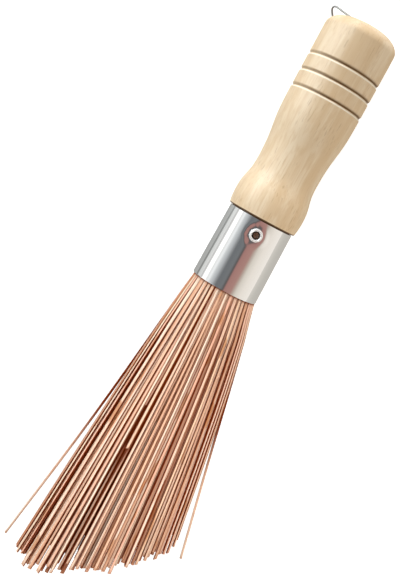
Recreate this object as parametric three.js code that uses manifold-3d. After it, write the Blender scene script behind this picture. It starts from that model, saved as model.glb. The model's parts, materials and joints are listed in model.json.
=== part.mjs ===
// Wok brush: a turned wooden handle, a rolled steel ferrule held by one rivet, and a flared bundle of bamboo
// splints. A wire ring for hanging swings in a slanting hole through the corner of the handle's end.
//
// Millimetres, +Z up. The pieces are made with the brush upright: its axis on Z, the handle's shoulder at z = 0,
// the handle above it and the splints below, the rivet at the front (-Y) and the brush's right side on +X.
// The finished brush is then laid down with the rivet up, resting on its handle and its lowest splints.

import * as THREE from "three";
import { mergeVertices } from "three/addons/utils/BufferGeometryUtils.js";
import Module from "manifold-3d";

// Clearance between pieces that touch on the real brush
const FIT = 0.3;

// Handle, lengths measured from the shoulder that meets the ferrule
const HANDLE_LENGTH = 90.4;
const HANDLE_RADIUS = 16.2;
const END_FLAT_RADIUS = 6.5;
const END_ROUNDING = 6.2;
const GROOVE_COUNT = 3;
const GROOVE_HEIGHT = 55.8;
const GROOVE_PITCH = 7.35;
const GROOVE_WIDTH = 1.5;
const GROOVE_DEPTH = 0.8;
const GRIP_HEIGHT = 52;
const WAIST_HEIGHT = 22.5;
const WAIST_RADIUS = 14.1;
const BEAD_HEIGHT = 6.3;
const BEAD_RADIUS = 16.2;
const SHOULDER_RADIUS = 15.7;
const SHOULDER_EDGE = 0.8;
const TENON_LENGTH = 14;

// Ferrule, rolled from sheet with a lap seam at the back
const FERRULE_LENGTH = 33.5;
const FERRULE_TOP_RADIUS = 14.7;
const FERRULE_MOUTH_RADIUS = 15.2;
const SHEET = 0.5;
const LAP_WIDTH = 6;
const LAP_STEP_WIDTH = 2.5;
const LAP_GAP = 0.15;

// Blind rivet, and the seat that it presses into the sheet
const RIVET_DEPTH = 6.8;
const RIVET_TURN = THREE.MathUtils.degToRad(5);
const RIVET_LENGTH = 9;
const RIVET_BODY_RADIUS = 2.2;
const RIVET_BORE_RADIUS = 1.75;
const FLANGE_RADIUS = 2.9;
const FLANGE_HEIGHT = 0.9;
const MANDREL_RECESS = 1.1;
const MANDREL_HEAD_HEIGHT = 2.2;
const SEAT_SINK = 0.6;
const SEAT_RADIUS = 3.3;
const SEAT_BLEND_RADIUS = 6.2;

// Glue bed below the tenon
const GLUE_DEPTH = 3;
const GLUE_GRIP = 1.5;

// Bamboo splints
const SPLINT_WIDTH = 1.6;
const SPLINT_THICKNESS = 1.3;
const SPLINT_GAP = 0.35;
const SPLINT_TIP_TAPER = 0.85;
const SPLINT_LENGTH = 148;
const SPLINT_STEPS = 5;
const CORE_SPLINT_STEPS = 2;
const LOOSE_SPLINTS = 54;

// How the bundle spreads past the ferrule's mouth, with its half width, half depth and lean at full length
const BUNDLE_HALF_WIDTH = 35.5;
const BUNDLE_HALF_DEPTH = 29.5;
const BUNDLE_LEAN = 7.5;
const SPREAD_CURVE = 0.8;
const TRIM_START = -14;
const TRIM_SLANT = 0.68;
const LENGTH_SCATTER = 2;
const TIP_SCATTER = 1.3;

// Two splints that have sprung out of the bundle, somewhat shorter than it, and one that has broken off
const STRAY_BEND = 7.5;
const LEFT_STRAY_SHORTFALL = 0.5;
const RIGHT_STRAY_SHORTFALL = 30;
const STRAY_WIDTH = 1.2;
const STRAY_THICKNESS = 0.8;
const BROKEN_LENGTH = 80;
const BROKEN_TURN = THREE.MathUtils.degToRad(-15);

// Hanging ring, and the slanting hole that it swings in
const WIRE_RADIUS = 0.5;
const HOLE_RADIUS = 0.9;
const HOLE_TOP_RADIUS = 9;
const HOLE_DROP = 7;
const HOLE_TURN = THREE.MathUtils.degToRad(28);
const RING_OVERHANG = 2.1;
const RING_HEIGHT = 15.4;
const RING_BASE_BEND = 2.2;
const RING_TIP_BEND = 4.4;
const RING_END_GAP = 0.8;
const RING_SWING = THREE.MathUtils.degToRad(42);

// Smoothness of round forms
const ROUND_SEGMENTS = 40;
const SMALL_ROUND_SEGMENTS = 24;
const CURVE_POINTS = 5;
const WIRE_STEPS = 46;
const WIRE_CURVE_POINTS = 4;
const SHEET_COLUMNS = 46;
const SHEET_ROWS = 13;
const COLUMN_FOCUS = 0.55;
const ROW_FOCUS = 1.5;

const wasm = await Module();
wasm.setup();

const WOOD = new THREE.MeshStandardMaterial({ color: 0xe6cda6, roughness: 0.6, metalness: 0 });
const STEEL = new THREE.MeshStandardMaterial({ color: 0xc8c9c8, roughness: 0.15, metalness: 1 });
const WIRE = new THREE.MeshStandardMaterial({ color: 0x9a9a98, roughness: 0.3, metalness: 1 });
const MANDREL_STEEL = new THREE.MeshStandardMaterial({ color: 0x4a4442, roughness: 0.5, metalness: 1 });
const BAMBOO = new THREE.MeshStandardMaterial({ color: 0xd9a27a, roughness: 0.65, metalness: 0 });
const GLUED_BAMBOO = new THREE.MeshStandardMaterial({ color: 0xb9805a, roughness: 0.7, metalness: 0 });

const UP = new THREE.Vector3(0, 0, 1);

// A closed geometry as a solid that can be cut and joined
function solid(geometry) {
  const bare = geometry.clone();
  bare.deleteAttribute("normal");
  bare.deleteAttribute("uv");
  const merged = mergeVertices(bare, 1e-4);
  const vertProperties = merged.attributes.position.array;
  const triVerts = new Uint32Array(merged.index.array);
  return new wasm.Manifold(new wasm.Mesh({ numProp: 3, vertProperties, triVerts }));
}

// A solid back as a geometry
function surface(body) {
  const mesh = body.getMesh();
  const geometry = new THREE.BufferGeometry();
  geometry.setAttribute("position", new THREE.BufferAttribute(mesh.vertProperties, 3));
  geometry.setIndex(new THREE.BufferAttribute(mesh.triVerts, 1));
  geometry.computeVertexNormals();
  return geometry;
}

// A profile of radius and height, drawn upwards, turned about Z
function turned(points, segments) {
  return new THREE.LatheGeometry(points, segments).rotateX(Math.PI / 2);
}

// A round bar along Z between two heights
function bar(radius, bottom, top, segments) {
  const geometry = new THREE.CylinderGeometry(radius, radius, top - bottom, segments);
  return geometry.rotateX(Math.PI / 2).translate(0, 0, (top + bottom) / 2);
}

// Every point of a geometry moved by a function
function warped(geometry, move) {
  const positions = geometry.attributes.position;
  const point = new THREE.Vector3();
  for (let i = 0; i < positions.count; i += 1) {
    const moved = move(point.fromBufferAttribute(positions, i));
    positions.setXYZ(i, moved.x, moved.y, moved.z);
  }
  geometry.computeVertexNormals();
  return geometry;
}

function piece(name, geometry, material) {
  const mesh = new THREE.Mesh(geometry, material);
  mesh.name = name;
  return mesh;
}

// A fixed scatter between -1 and 1 for item number i
function scatter(i, salt) {
  const wave = Math.sin(i * 12.9898 + salt * 78.233) * 43758.5453;
  return 2 * (wave - Math.floor(wave)) - 1;
}

// Ferrule radius on its outside, at a depth below the shoulder
function ferruleRadius(depth) {
  return THREE.MathUtils.lerp(FERRULE_TOP_RADIUS, FERRULE_MOUTH_RADIUS, depth / FERRULE_LENGTH);
}

const seatDistance = ferruleRadius(RIVET_DEPTH) - SEAT_SINK;
const tenonRadius = FERRULE_TOP_RADIUS - SHEET - FIT;
const mouthRadius = FERRULE_MOUTH_RADIUS - SHEET - FIT;
const glueTop = TENON_LENGTH + FIT;
const glueBottom = glueTop + GLUE_DEPTH;

// Something made along Z, with z = 0 on the rivet's seat, put on the rivet's axis
const rivetOutward = new THREE.Vector3(Math.sin(RIVET_TURN), -Math.cos(RIVET_TURN), 0);
const rivetPlace = new THREE.Group();
rivetPlace.position.copy(rivetOutward).multiplyScalar(seatDistance).setZ(-RIVET_DEPTH);
rivetPlace.quaternion.setFromUnitVectors(UP, rivetOutward);
rivetPlace.updateMatrix();

function onRivet(geometry) {
  return geometry.applyMatrix4(rivetPlace.matrix);
}

// The line of the hanging ring's hole, from the top of the handle's end out to its side
function endHeight(radius) {
  const across = (radius - END_FLAT_RADIUS) / (HANDLE_RADIUS - END_FLAT_RADIUS);
  return HANDLE_LENGTH - END_ROUNDING * (1 - Math.sqrt(1 - across * across));
}

const holeOutward = new THREE.Vector3(-Math.sin(HOLE_TURN), Math.cos(HOLE_TURN), 0);
const holeTop = holeOutward.clone().multiplyScalar(HOLE_TOP_RADIUS).setZ(endHeight(HOLE_TOP_RADIUS));
const holeSide = holeOutward.clone().multiplyScalar(HANDLE_RADIUS).setZ(HANDLE_LENGTH - HOLE_DROP);
const holeLine = holeSide.clone().sub(holeTop);
const holeLength = holeLine.length();
const holeMiddle = holeTop.clone().add(holeSide).multiplyScalar(0.5);
const holeAxis = holeLine.clone().normalize();

function handleProfile() {
  const bead = BEAD_HEIGHT - SHOULDER_EDGE;
  const flank = (WAIST_HEIGHT - BEAD_HEIGHT) / 2;
  const swell = (GRIP_HEIGHT - WAIST_HEIGHT) / 2;
  const path = new THREE.Path();
  path.moveTo(0, -TENON_LENGTH);
  path.lineTo(tenonRadius, -TENON_LENGTH);
  path.lineTo(tenonRadius, 0);
  path.lineTo(SHOULDER_RADIUS - SHOULDER_EDGE, 0);
  path.quadraticCurveTo(SHOULDER_RADIUS, 0, SHOULDER_RADIUS, SHOULDER_EDGE);
  path.quadraticCurveTo(BEAD_RADIUS, SHOULDER_EDGE + bead / 2, BEAD_RADIUS, BEAD_HEIGHT);
  path.bezierCurveTo(
    BEAD_RADIUS, BEAD_HEIGHT + flank,
    WAIST_RADIUS, WAIST_HEIGHT - flank,
    WAIST_RADIUS, WAIST_HEIGHT,
  );
  path.bezierCurveTo(
    WAIST_RADIUS, WAIST_HEIGHT + swell,
    HANDLE_RADIUS, GRIP_HEIGHT - swell,
    HANDLE_RADIUS, GRIP_HEIGHT,
  );
  for (let i = 0; i < GROOVE_COUNT; i += 1) {
    const middle = GROOVE_HEIGHT + i * GROOVE_PITCH;
    path.lineTo(HANDLE_RADIUS, middle - GROOVE_WIDTH / 2);
    path.quadraticCurveTo(HANDLE_RADIUS - 2 * GROOVE_DEPTH, middle, HANDLE_RADIUS, middle + GROOVE_WIDTH / 2);
  }
  path.lineTo(HANDLE_RADIUS, HANDLE_LENGTH - END_ROUNDING);
  path.absellipse(
    END_FLAT_RADIUS, HANDLE_LENGTH - END_ROUNDING,
    HANDLE_RADIUS - END_FLAT_RADIUS, END_ROUNDING,
    0, Math.PI / 2,
  );
  path.lineTo(0, HANDLE_LENGTH);
  return path.getPoints(CURVE_POINTS);
}

function makeHandle() {
  const reach = holeLength + HANDLE_RADIUS;
  const ringHole = bar(HOLE_RADIUS, -reach / 2, reach / 2, SMALL_ROUND_SEGMENTS / 2);
  ringHole.applyQuaternion(new THREE.Quaternion().setFromUnitVectors(UP, holeAxis));
  ringHole.translate(holeMiddle.x, holeMiddle.y, holeMiddle.z);
  const rivetDepth = RIVET_LENGTH + MANDREL_HEAD_HEIGHT + 2 * FIT;
  const rivetHole = onRivet(bar(RIVET_BODY_RADIUS + FIT, -rivetDepth, SHEET, SMALL_ROUND_SEGMENTS));
  const pressedFlat = onRivet(bar(SEAT_BLEND_RADIUS, -SHEET - FIT, HANDLE_RADIUS, SMALL_ROUND_SEGMENTS));
  const belowShoulder = solid(pressedFlat).trimByPlane([0, 0, -1], 0);
  const body = solid(turned(handleProfile(), ROUND_SEGMENTS))
    .subtract(solid(ringHole))
    .subtract(solid(rivetHole))
    .subtract(belowShoulder);
  return piece("handle", surface(body), WOOD);
}

// A point of the rolled sheet. The angle runs round from the rivet, and layer 1 is the outside.
function sheetPoint(angle, depth, layer) {
  const lapStart = Math.PI - LAP_WIDTH / 2 / FERRULE_MOUTH_RADIUS;
  const stepStart = lapStart - LAP_STEP_WIDTH / FERRULE_MOUTH_RADIUS;
  const inset = (1 - layer) * SHEET;
  const lift = (SHEET + LAP_GAP) * THREE.MathUtils.smoothstep(angle, stepStart, lapStart);
  const radius = ferruleRadius(depth) + lift - inset;
  const sideways = radius * Math.sin(angle);
  const outward = radius * Math.cos(angle);
  const seat = Math.min(outward, seatDistance - inset);
  const fromRivet = Math.hypot(sideways, depth - RIVET_DEPTH);
  const blend = outward > 0 ? THREE.MathUtils.smoothstep(fromRivet, SEAT_RADIUS, SEAT_BLEND_RADIUS) : 1;
  return new THREE.Vector3(sideways, -THREE.MathUtils.lerp(seat, outward, blend), -depth);
}

function makeFerrule() {
  const half = Math.PI + LAP_WIDTH / 2 / FERRULE_MOUTH_RADIUS;
  const strip = new THREE.BoxGeometry(2, 1, 1, SHEET_COLUMNS, SHEET_ROWS, 1);
  const rolled = warped(strip, ({ x, y, z }) => {
    const angle = half * THREE.MathUtils.lerp(x, x ** 3, COLUMN_FOCUS);
    const depth = FIT + (FERRULE_LENGTH - FIT) * (0.5 - y) ** ROW_FOCUS;
    return sheetPoint(angle, depth, z + 0.5);
  });
  const hole = onRivet(bar(RIVET_BODY_RADIUS + FIT, -RIVET_LENGTH / 2, RIVET_LENGTH / 2, SMALL_ROUND_SEGMENTS));
  const body = solid(rolled.rotateZ(RIVET_TURN)).subtract(solid(hole));
  return piece("ferrule", surface(body), STEEL);
}

function makeRivetSleeve() {
  const top = FIT + FLANGE_HEIGHT;
  const path = new THREE.Path();
  path.moveTo(RIVET_BORE_RADIUS, -RIVET_LENGTH);
  path.lineTo(RIVET_BODY_RADIUS, -RIVET_LENGTH);
  path.lineTo(RIVET_BODY_RADIUS, FIT);
  path.lineTo(FLANGE_RADIUS, FIT);
  path.quadraticCurveTo(FLANGE_RADIUS, top, RIVET_BODY_RADIUS, top);
  path.quadraticCurveTo(RIVET_BORE_RADIUS, top, RIVET_BORE_RADIUS, FIT);
  path.lineTo(RIVET_BORE_RADIUS, -RIVET_LENGTH);
  return piece("rivet_sleeve", turned(path.getPoints(CURVE_POINTS), SMALL_ROUND_SEGMENTS), STEEL);
}

function makeRivetMandrel() {
  const radius = RIVET_BORE_RADIUS - FIT;
  const headTop = -RIVET_LENGTH - FIT;
  const broken = FIT + FLANGE_HEIGHT - MANDREL_RECESS;
  const path = new THREE.Path();
  path.moveTo(0, headTop - MANDREL_HEAD_HEIGHT);
  path.quadraticCurveTo(RIVET_BODY_RADIUS, headTop - MANDREL_HEAD_HEIGHT, RIVET_BODY_RADIUS, headTop);
  path.lineTo(radius, headTop);
  path.lineTo(radius, broken - radius / 2);
  path.lineTo(radius / 2, broken);
  path.lineTo(0, broken);
  return piece("rivet_mandrel", turned(path.getPoints(CURVE_POINTS), SMALL_ROUND_SEGMENTS), MANDREL_STEEL);
}

// The places of all splints in the ferrule's mouth, ring by ring from the outside and from the front to the back.
// The turn runs from the front of the brush towards its right.
function splintPlaces() {
  const places = [];
  const innermost = SPLINT_WIDTH / 2;
  const pitch = SPLINT_THICKNESS + SPLINT_GAP;
  for (let radius = mouthRadius - SPLINT_THICKNESS / 2; radius > innermost; radius -= pitch) {
    const inner = radius - SPLINT_THICKNESS / 2;
    const count = Math.floor((2 * Math.PI * inner) / (SPLINT_WIDTH + SPLINT_GAP));
    for (let i = 0; i < count; i += 1) {
      const side = i % 2 === 0 ? 1 : -1;
      const turn = (side * Math.ceil(i / 2) * 2 * Math.PI) / count;
      places.push({ radius, turn, angle: turn - Math.PI / 2, stray: 0, number: places.length });
    }
  }
  return places;
}

const spreadSideways = BUNDLE_HALF_WIDTH / mouthRadius - 1;
const spreadDeep = BUNDLE_HALF_DEPTH / mouthRadius - 1;

// How far the bundle has spread at a depth below the mouth, as a share of its spread at full length
function spreadAt(depth) {
  return Math.max(depth / SPLINT_LENGTH, 0) ** SPREAD_CURVE;
}

// The middle of a splint at a depth below the mouth, where it wanders a little along its own ring.
// Above the mouth the splints follow the ferrule's taper.
function splintMiddle(place, depth) {
  const inside = Math.min(FERRULE_LENGTH + depth, FERRULE_LENGTH);
  const radius = (place.radius * (ferruleRadius(inside) - SHEET - FIT)) / mouthRadius;
  const x = radius * Math.cos(place.angle);
  const y = radius * Math.sin(place.angle);
  const spread = spreadAt(depth);
  const share = Math.max(depth / SPLINT_LENGTH, 0);
  const drift = TIP_SCATTER * share * scatter(place.number, 1);
  const stray = place.stray * STRAY_BEND * share ** 2;
  return new THREE.Vector3(
    x * (1 + spreadSideways * spread) + BUNDLE_LEAN * spread - drift * Math.sin(place.angle) + stray,
    y * (1 + spreadDeep * spread) + drift * Math.cos(place.angle),
    -FERRULE_LENGTH - depth,
  );
}

// The bundle is trimmed at a slant, full length on the left and shorter towards the right
function splintLength(place) {
  if (place.length) return place.length;
  const tip = splintMiddle(place, SPLINT_LENGTH).x;
  const trimmed = SPLINT_LENGTH - TRIM_SLANT * Math.max(tip - TRIM_START, 0);
  return trimmed + LENGTH_SCATTER * scatter(place.number, 2);
}

// One splint as a bar bent along its own line, from its root in the ferrule to its tip
function splintGeometry(place, rootDepth, steps) {
  const length = splintLength(place);
  const width = place.stray === 0 ? SPLINT_WIDTH : STRAY_WIDTH;
  const thickness = place.stray === 0 ? SPLINT_THICKNESS : STRAY_THICKNESS;
  const stick = new THREE.BoxGeometry(thickness, width, 1, 1, 1, steps);
  return warped(stick, ({ x, y, z }) => {
    const step = Math.round((0.5 - z) * steps);
    const depth = step === 0 ? rootDepth - FERRULE_LENGTH : length * ((step - 1) / (steps - 1)) ** 2;
    const narrow = THREE.MathUtils.lerp(1, SPLINT_TIP_TAPER, Math.max(depth / length, 0));
    const section = new THREE.Vector3(x * narrow, y * narrow, 0).applyAxisAngle(UP, place.angle);
    return section.add(splintMiddle(place, depth));
  });
}

// The outer splint that stands nearest to a turn from the front
function outerSplint(places, turn) {
  const outer = places.filter((place) => place.radius === places[0].radius);
  return outer.reduce((best, place) => (Math.abs(place.turn - turn) < Math.abs(best.turn - turn) ? place : best));
}

// One splint on each side has sprung out of the bundle, and one at the front has broken off
function markOddSplints(places) {
  const leftLength = SPLINT_LENGTH - LEFT_STRAY_SHORTFALL;
  const rightLength = SPLINT_LENGTH - RIGHT_STRAY_SHORTFALL;
  Object.assign(outerSplint(places, -Math.PI / 2), { stray: -1, length: leftLength });
  Object.assign(outerSplint(places, Math.PI / 2), { stray: 1, length: rightLength });
  Object.assign(outerSplint(places, BROKEN_TURN), { length: BROKEN_LENGTH });
}

function makeSplints() {
  const places = splintPlaces();
  markOddSplints(places);
  const loose = places.slice(0, LOOSE_SPLINTS).map((place) => {
    const name = `splint_${String(place.number + 1).padStart(2, "0")}`;
    return piece(name, splintGeometry(place, glueBottom + FIT, SPLINT_STEPS), BAMBOO);
  });
  const bedRadius = ferruleRadius(glueTop) - SHEET - FIT;
  const bed = solid(bar(bedRadius, -glueBottom, -glueTop, ROUND_SEGMENTS));
  const core = places.slice(LOOSE_SPLINTS).reduce(
    (body, place) => body.add(solid(splintGeometry(place, glueBottom - GLUE_GRIP, CORE_SPLINT_STEPS))),
    bed,
  );
  return { places, pieces: [...loose, piece("glue_core", surface(core), GLUED_BAMBOO)] };
}

// The wire is bent to a triangle with round corners, and its ends meet inside the hole
function makeHangingRing() {
  const corner = holeLength / 2 + RING_OVERHANG;
  const side = new THREE.Vector2(-corner, RING_HEIGHT).normalize();
  const path = new THREE.Path();
  path.moveTo(RING_END_GAP / 2, 0);
  path.lineTo(corner - RING_BASE_BEND, 0);
  path.quadraticCurveTo(corner, 0, corner + side.x * RING_BASE_BEND, side.y * RING_BASE_BEND);
  path.lineTo(-side.x * RING_TIP_BEND, RING_HEIGHT - side.y * RING_TIP_BEND);
  path.quadraticCurveTo(0, RING_HEIGHT, side.x * RING_TIP_BEND, RING_HEIGHT - side.y * RING_TIP_BEND);
  path.lineTo(-corner - side.x * RING_BASE_BEND, side.y * RING_BASE_BEND);
  path.quadraticCurveTo(-corner, 0, -corner + RING_BASE_BEND, 0);
  path.lineTo(-RING_END_GAP / 2, 0);
  const points = path.getSpacedPoints(WIRE_STEPS).map((point) => new THREE.Vector3(point.x, point.y, 0));
  const section = new THREE.Shape().absarc(0, 0, WIRE_RADIUS, 0, 2 * Math.PI);
  const geometry = new THREE.ExtrudeGeometry(section, {
    steps: WIRE_STEPS,
    curveSegments: WIRE_CURVE_POINTS,
    extrudePath: new THREE.CatmullRomCurve3(points),
  });
  const ring = piece("hanging_ring", geometry, WIRE);
  const radialPlane = new THREE.Vector3().crossVectors(holeAxis, holeOutward).normalize();
  const outward = new THREE.Vector3().crossVectors(radialPlane, holeAxis);
  outward.applyAxisAngle(holeAxis, -RING_SWING);
  const across = new THREE.Vector3().crossVectors(holeAxis, outward);
  ring.quaternion.setFromRotationMatrix(new THREE.Matrix4().makeBasis(holeAxis, outward, across));
  ring.position.copy(holeMiddle);
  return ring;
}

// The slope at which the brush lies, resting on the rim of its handle's end and on its lowest splint tip
function restingSlope(places) {
  const rim = HANDLE_LENGTH - END_ROUNDING;
  const slopes = places.map((place) => {
    const tip = splintMiddle(place, splintLength(place));
    return Math.atan2(tip.y + SPLINT_THICKNESS / 2 - HANDLE_RADIUS, rim - tip.z);
  });
  return Math.max(...slopes);
}

const splints = makeSplints();
rivetPlace.add(makeRivetSleeve(), makeRivetMandrel());

const upright = new THREE.Group();
upright.add(makeHandle(), makeFerrule(), rivetPlace, makeHangingRing(), ...splints.pieces);
upright.rotation.set(-Math.PI / 2, 0, -Math.PI / 2, "ZYX");

const lying = new THREE.Group();
lying.add(upright);
lying.rotation.y = restingSlope(splints.places);

// The origin is under the middle of the brush, on the surface that it lies on
const brush = new THREE.Group();
brush.add(lying);
const box = new THREE.Box3().setFromObject(brush, true);
const middle = box.getCenter(new THREE.Vector3());
lying.position.set(-middle.x, -middle.y, -box.min.z);

export default brush;
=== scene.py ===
# %% [markdown]
# # A wok brush, finished on the bench
#
# A wok brush is a bundle of split bamboo, held in a steel sleeve on a turned wooden handle. A frame of
# plain solids already gives the size and place of every piece. This lesson models the finished pieces
# around it, gives each its own surface, and photographs the brush as it lies on a white table.

# %% Load the frame
import json
import math
import random

import bpy
from mathutils import Matrix, Vector
from mathutils.geometry import interpolate_bezier


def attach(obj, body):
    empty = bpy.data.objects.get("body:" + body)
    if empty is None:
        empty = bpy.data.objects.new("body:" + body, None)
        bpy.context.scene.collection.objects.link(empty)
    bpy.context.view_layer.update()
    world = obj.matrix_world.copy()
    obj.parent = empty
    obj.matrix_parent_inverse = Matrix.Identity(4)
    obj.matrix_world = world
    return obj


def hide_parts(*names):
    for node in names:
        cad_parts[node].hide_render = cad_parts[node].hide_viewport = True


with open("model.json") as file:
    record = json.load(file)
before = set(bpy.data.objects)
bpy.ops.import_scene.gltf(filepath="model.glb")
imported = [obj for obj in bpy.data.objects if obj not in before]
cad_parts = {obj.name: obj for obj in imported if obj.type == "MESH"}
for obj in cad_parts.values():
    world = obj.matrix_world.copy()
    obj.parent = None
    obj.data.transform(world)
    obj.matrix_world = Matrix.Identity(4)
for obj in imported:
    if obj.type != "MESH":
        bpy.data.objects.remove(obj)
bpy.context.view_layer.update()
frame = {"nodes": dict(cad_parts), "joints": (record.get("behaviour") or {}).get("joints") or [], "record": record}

MM = 0.001


def in_mm(lengths):
    """Lengths in millimetres, rounded for printing."""
    return [round(length / MM, 1) for length in lengths]


# %% [markdown]
# ## The bench
#
# The brush lies tilted, but a turner thinks of it upright, with the handle above and the splints below. So
# the pieces are modelled upright at the bench, with the handle's shoulder at the origin, and one matrix
# lays each finished piece down in its place. The flat on the handle's end gives the direction of the axis,
# and the top of the steel sleeve the shoulder.

# %% Measure the axis and the shoulder
FIT = 0.3 * MM
end_flat = frame["record"]["mounts"][0]
handle_end = Vector(end_flat["pos_m"])
along = Vector(end_flat["axis"]).normalized()
front = (Vector((0, 0, 1)) - along * along.z).normalized()
right = along.cross(front)


def axes(x, y, z):
    """A matrix that turns the three axes to these directions."""
    return Matrix((x, y, z)).transposed().to_4x4()


heights = [(vertex.co - handle_end).dot(along) for vertex in frame["nodes"]["ferrule"].data.vertices]
handle_length = -(max(heights) + FIT)
ferrule_length = -min(heights) - handle_length
shoulder = handle_end - along * handle_length
bench = axes(right, -front, along)
bench.translation = shoulder
to_bench = bench.inverted()


def at_the_bench(node):
    """The corners of a solid of the frame, as they lie at the bench."""
    return [to_bench @ vertex.co for vertex in frame["nodes"][node].data.vertices]


print("handle and sleeve lengths in mm:", in_mm((handle_length, ferrule_length)))

# %% [markdown]
# ## The camera
#
# The picture looks straight down on the brush, rolled so that the handle points to the upper right. The
# camera stands above a point just over the shoulder and looks a little towards the splints. It is made
# first, because every later choice is judged through it.

# %% Place the camera
IMAGE_HEIGHT = 581
FOCAL_PIXELS = 930
SENSOR = 36
CAMERA_DISTANCE = 400 * MM
CAMERA_UP_THE_HANDLE = 10.4 * MM
AIM_DOWN_THE_SPLINTS = 39.9 * MM
AIM_TO_THE_LEFT = 8.5 * MM
CAMERA_ROLL = math.radians(-28.57)

lens_place = shoulder + along * CAMERA_UP_THE_HANDLE + front * CAMERA_DISTANCE
aim = shoulder - along * AIM_DOWN_THE_SPLINTS - right * AIM_TO_THE_LEFT
look = (aim - lens_place).normalized()
level_up = (along - look * along.dot(look)).normalized()
picture_up = Matrix.Rotation(CAMERA_ROLL, 3, look) @ level_up

bpy.ops.object.camera_add()
camera = bpy.context.object
camera.name = "camera"
camera.matrix_world = Matrix.Translation(lens_place) @ axes(look.cross(picture_up), picture_up, -look)
camera.data.sensor_width = SENSOR
camera.data.lens = SENSOR * FOCAL_PIXELS / IMAGE_HEIGHT
camera.data.clip_start = 1 * MM
bpy.context.scene.camera = camera
bpy.context.scene.view_settings.view_transform = "Standard"
print("lens in mm:", round(camera.data.lens, 2))

# %% [markdown]
# ## The table and the light
#
# A packshot like this has a white table, a large cool softbox low on the left, a weaker warm one on the
# right that lifts the shaded side, and an even, warm fill from the room. A third softbox beyond the handle
# brightens its end, and a small one with a grid hangs close above the splints. Lighting table and room
# until they turn white would burn out the pale wood. Light Path nodes need no extra light: rays that see
# the table directly or in a mirror get the missing brightness as glow, and the shadow stays, because the
# lit part of the colour still varies.

# %% Helpers: materials and their nodes
WHITE = (1, 1, 1, 1)
# Where a Mix node has its colours among its inputs and outputs
MIX_BASE = 6
MIX_COLOUR = 7
MIX_RESULT = 2


def feed(node, inputs):
    """Gives each of these inputs of a node its value, or a link from another node's output."""
    for name, source in inputs.items():
        if isinstance(source, bpy.types.NodeSocket):
            node.id_data.links.new(source, node.inputs[name])
        else:
            node.inputs[name].default_value = source


def add_node(owner, kind, inputs, output=0, **settings):
    """An output of a new node, in the tree that the owner, a node or a socket, knows as its id_data."""
    node = owner.id_data.nodes.new("ShaderNode" + kind)
    for name, value in settings.items():
        setattr(node, name, value)
    feed(node, inputs)
    return node.outputs[output]


def maths(operation, first, second):
    """The result of an operation on two values, of which the first comes from a node."""
    return add_node(first, "Math", {0: first, 1: second}, operation=operation)


def tint(base, colour, amount):
    """One colour laid over another by an amount from 0 to 1, which comes from a node."""
    inputs = {"Factor": amount, MIX_BASE: base, MIX_COLOUR: colour}
    return add_node(amount, "Mix", inputs, MIX_RESULT, data_type="RGBA")


def new_finish(name, inputs):
    """A material and its main shader, with some of the shader's inputs set."""
    finish = bpy.data.materials.new(name)
    finish.use_nodes = True
    shader = finish.node_tree.nodes["Principled BSDF"]
    feed(shader, inputs)
    return finish, shader


# %% White room and white table
ROOM_FILL = (0.34, 0.32, 0.29, 1)
TABLE_SIZE = 4.0
TABLE_COLOUR = (0.8, 0.8, 0.8, 1)
TABLE_GLOW = 0.68


def seen_rays(owner):
    """A value that is 1 for rays that see a surface directly, in a mirror or through glass."""
    rays = add_node(owner, "LightPath", {}).node.outputs
    direct_or_mirrored = maths("MAXIMUM", rays["Is Camera Ray"], rays["Is Glossy Ray"])
    return maths("MAXIMUM", direct_or_mirrored, rays["Is Transmission Ray"])


def plane(name, size):
    """A new square plane, which is the active object."""
    bpy.ops.mesh.primitive_plane_add(size=size)
    bpy.context.object.name = name
    return bpy.context.object


room = bpy.data.worlds.new("white_room")
room.use_nodes = True
bpy.context.scene.world = room
background = room.node_tree.nodes["Background"]
feed(background, {"Color": tint(ROOM_FILL, WHITE, seen_rays(background))})

table = plane("table", TABLE_SIZE)
matt = {"Base Color": TABLE_COLOUR, "Roughness": 0.9, "Specular IOR Level": 0, "Emission Color": WHITE}
white, shader = new_finish("white_table", matt)
feed(shader, {"Emission Strength": maths("MULTIPLY", seen_rays(shader), TABLE_GLOW)})
table.data.materials.append(white)
print("room fill:", ROOM_FILL)

# %% The softboxes around the brush
NEAR_DOWN_THE_SPLINTS = 66 * MM


def softbox(name, aim, degrees, towards_handle, size, power, colour, distance=1.4, spread=180):
    """A square lamp that faces a point of the brush, so many degrees to the right of straight above."""
    angle = math.radians(degrees)
    direction = front * math.cos(angle) + right * math.sin(angle) + along * towards_handle
    place = aim + direction.normalized() * distance
    bpy.ops.object.light_add(type="AREA", location=place)
    lamp = bpy.context.object
    lamp.name = name
    lamp.data.size = size
    lamp.data.energy = power
    lamp.data.color = colour
    lamp.data.spread = math.radians(spread)
    lamp.rotation_euler = (aim - place).to_track_quat("-Z", "Y").to_euler()
    lamp.visible_glossy = False
    lamp.visible_camera = False


near_aim = shoulder - along * (ferrule_length + NEAR_DOWN_THE_SPLINTS)
softbox(
    "key_softbox", shoulder, degrees=-66, towards_handle=0.5,
    size=1.2, power=16.4, colour=(0.90, 0.96, 1.0),
)
softbox(
    "rim_softbox", shoulder, degrees=75, towards_handle=-0.1,
    size=1.0, power=6.4, colour=(1.0, 0.96, 0.9),
)
softbox(
    "end_softbox", shoulder, degrees=-45, towards_handle=5.0,
    size=0.5, power=13.0, colour=(1.0, 1.0, 1.0),
)
softbox(
    "near_softbox", near_aim, degrees=11, towards_handle=0,
    size=0.12, power=0.056, colour=(1.0, 0.98, 0.95), distance=0.2, spread=90,
)
print("softboxes:", len(bpy.data.lights))

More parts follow.
